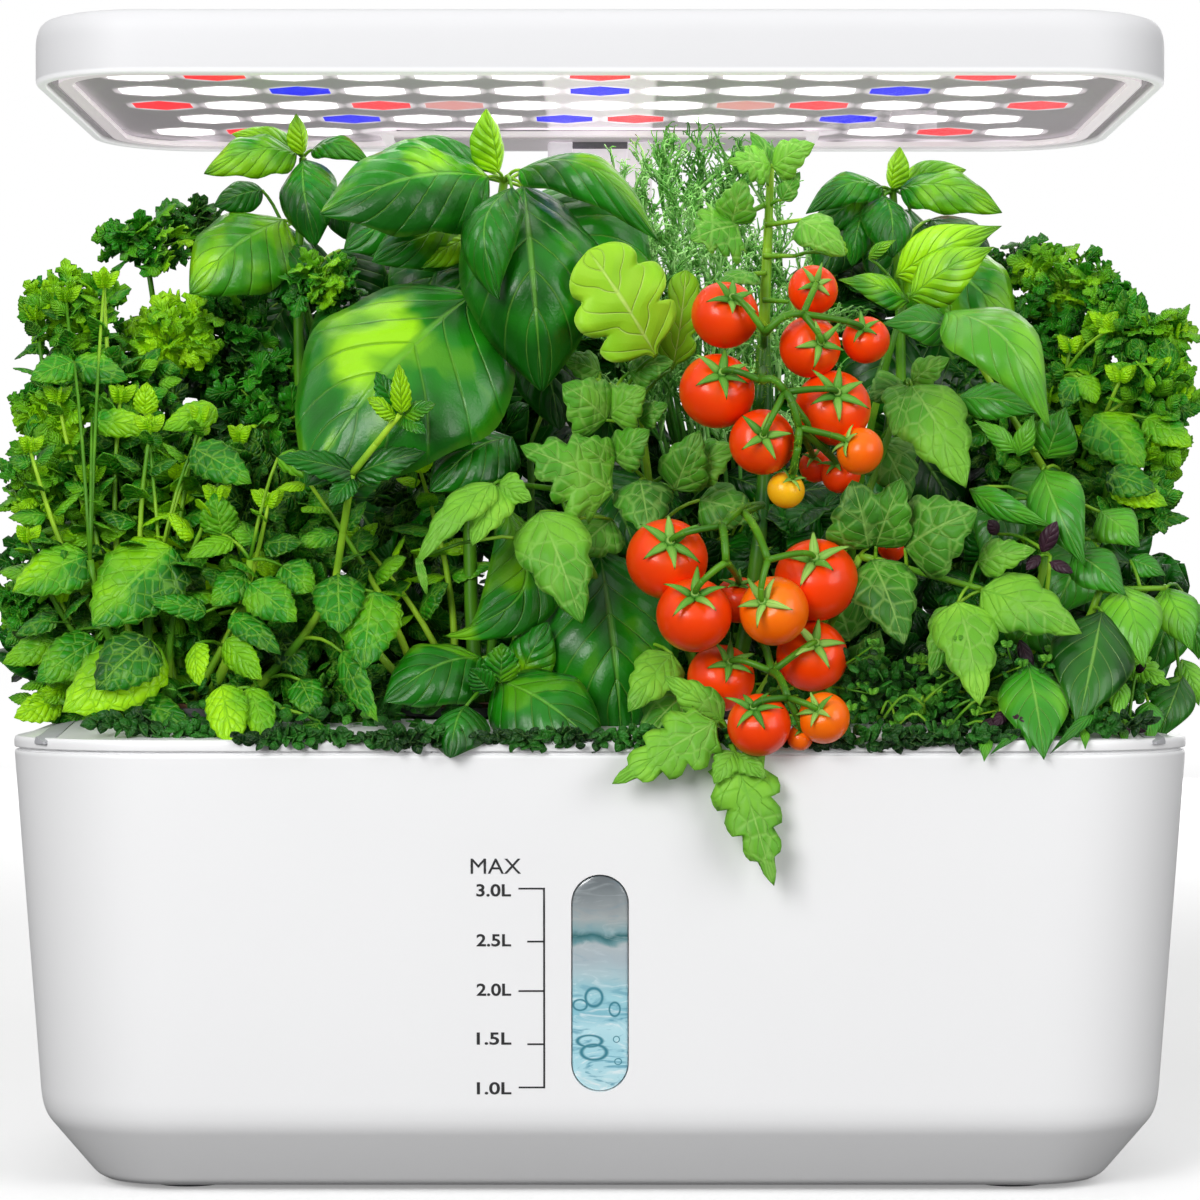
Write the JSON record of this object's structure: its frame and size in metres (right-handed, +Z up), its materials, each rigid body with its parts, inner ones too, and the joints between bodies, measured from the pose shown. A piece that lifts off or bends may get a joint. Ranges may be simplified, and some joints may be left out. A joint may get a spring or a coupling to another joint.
{
  "type": "countertop hydroponic garden",
  "caption": "White countertop hydroponic garden: water tank, planting deck, grow lamp on a telescoping mast, herbs and cherry tomatoes.",
  "frame": {"origin": "middle of the footprint, at table height", "axes": "+Z up, +Y from the level window's side towards the mast, +X to the right of someone facing the window"},
  "size_m": [0.2999, 0.2071, 0.2785],
  "materials": {
    "tank": "satin moulded ABS",
    "tank_window": "clear moulded plastic over water",
    "window_gasket": "matt silicone",
    "feet": "matt",
    "deck": "satin moulded ABS",
    "fill_flap": "satin moulded ABS",
    "flap_pin": "drawn",
    "mast_outer": "satin moulded ABS",
    "mast_inner": "dark anodised",
    "mast_bush": "acetal",
    "mast_screws": "plated",
    "mast_lead": "coiled lead",
    "dc_inlet": "moulded",
    "hood_shell": "satin moulded ABS",
    "hood_bezel": "satin moulded ABS",
    "light_cover": "clear polycarbonate sheet",
    "light_panel": "satin grey",
    "lens_white": "lit lens",
    "lens_red": "lit lens",
    "lens_blue": "lit lens",
    "lens_far_red": "lens",
    "led_board": "solder mask",
    "driver_board": "circuit board",
    "hood_clamp": "satin grey",
    "hood_screws": "plated",
    "light_button": "satin",
    "pump_button": "satin",
    "pump_body": "moulded",
    "pump_cover": "moulded",
    "pump_impeller": "moulded",
    "pump_filter": "open-cell foam",
    "riser_tube": "silicone tube",
    "pump_lead": "flexible lead",
    "grow_sponges": "peat sponge",
    "basket_1": "moulded",
    "basket_2": "moulded",
    "basket_3": "moulded",
    "basket_4": "moulded",
    "basket_5": "moulded",
    "basket_6": "moulded",
    "basket_7": "moulded",
    "basket_8": "moulded",
    "basket_9": "moulded",
    "basket_10": "moulded",
    "mint_left": "living leaf",
    "basil_front": "living leaf",
    "tomato_plant": "living leaf",
    "pepper_plant": "living leaf",
    "basil_left": "living leaf",
    "basil_right": "living leaf",
    "parsley": "living leaf",
    "oregano": "living leaf",
    "dill": "living leaf",
    "mint_right": "living leaf",
    "tomatoes": "glossy fruit skin"
  },
  "bodies": {
    "base": {"tank": "tank", "tank_window": "tank_window", "window_gasket": "window_gasket", "feet": "feet"},
    "deck": {"deck": "deck", "flap_pin": "flap_pin", "mast_outer": "mast_outer", "mast_bush": "mast_bush", "mast_screws": "mast_screws", "mast_lead": "mast_lead", "dc_inlet": "dc_inlet", "pump_body": "pump_body", "pump_cover": "pump_cover", "pump_filter": "pump_filter", "riser_tube": "riser_tube", "pump_lead": "pump_lead", "grow_sponges": "grow_sponges", "basket_1": "basket_1", "basket_2": "basket_2", "basket_3": "basket_3", "basket_4": "basket_4", "basket_5": "basket_5", "basket_6": "basket_6", "basket_7": "basket_7", "basket_8": "basket_8", "basket_9": "basket_9", "basket_10": "basket_10", "mint_left": "mint_left", "basil_front": "basil_front", "tomato_plant": "tomato_plant", "pepper_plant": "pepper_plant", "basil_left": "basil_left", "basil_right": "basil_right", "parsley": "parsley", "oregano": "oregano", "dill": "dill", "mint_right": "mint_right", "tomatoes": "tomatoes"},
    "lamp": {"mast_inner": "mast_inner", "hood_shell": "hood_shell", "hood_bezel": "hood_bezel", "light_cover": "light_cover", "light_panel": "light_panel", "lens_white": "lens_white", "lens_red": "lens_red", "lens_blue": "lens_blue", "lens_far_red": "lens_far_red", "led_board": "led_board", "driver_board": "driver_board", "hood_clamp": "hood_clamp", "hood_screws": "hood_screws"},
    "flap": {"fill_flap": "fill_flap"},
    "light_button": {"light_button": "light_button"},
    "pump_button": {"pump_button": "pump_button"},
    "impeller": {"pump_impeller": "pump_impeller"}
  },
  "joints": [
    {"name": "deck_lift", "type": "slide", "parent": "base", "child": "deck", "axis": [0, 0, 1], "range_m": [0, 0.05]},
    {"name": "lamp_height", "type": "slide", "parent": "deck", "child": "lamp", "axis": [0, 0, 1], "range_m": [0, 0.115], "deforming": ["mast_lead"]},
    {"name": "flap_hinge", "type": "hinge", "parent": "deck", "child": "flap", "pos_m": [0.114, 0.01935, 0.1148], "axis": [-1, 0, 0], "range_deg": [0, 100]},
    {"name": "light_press", "type": "slide", "parent": "lamp", "child": "light_button", "axis": [0, 0, -1], "range_m": [0, 0.001], "stiffness_N_per_m": 400},
    {"name": "pump_press", "type": "slide", "parent": "lamp", "child": "pump_button", "axis": [0, 0, -1], "range_m": [0, 0.001], "stiffness_N_per_m": 400},
    {"name": "impeller_spin", "type": "hinge", "parent": "deck", "child": "impeller", "pos_m": [0, 0.0355, 0.0189], "axis": [0, 1, 0], "continuous": true}
  ]
}
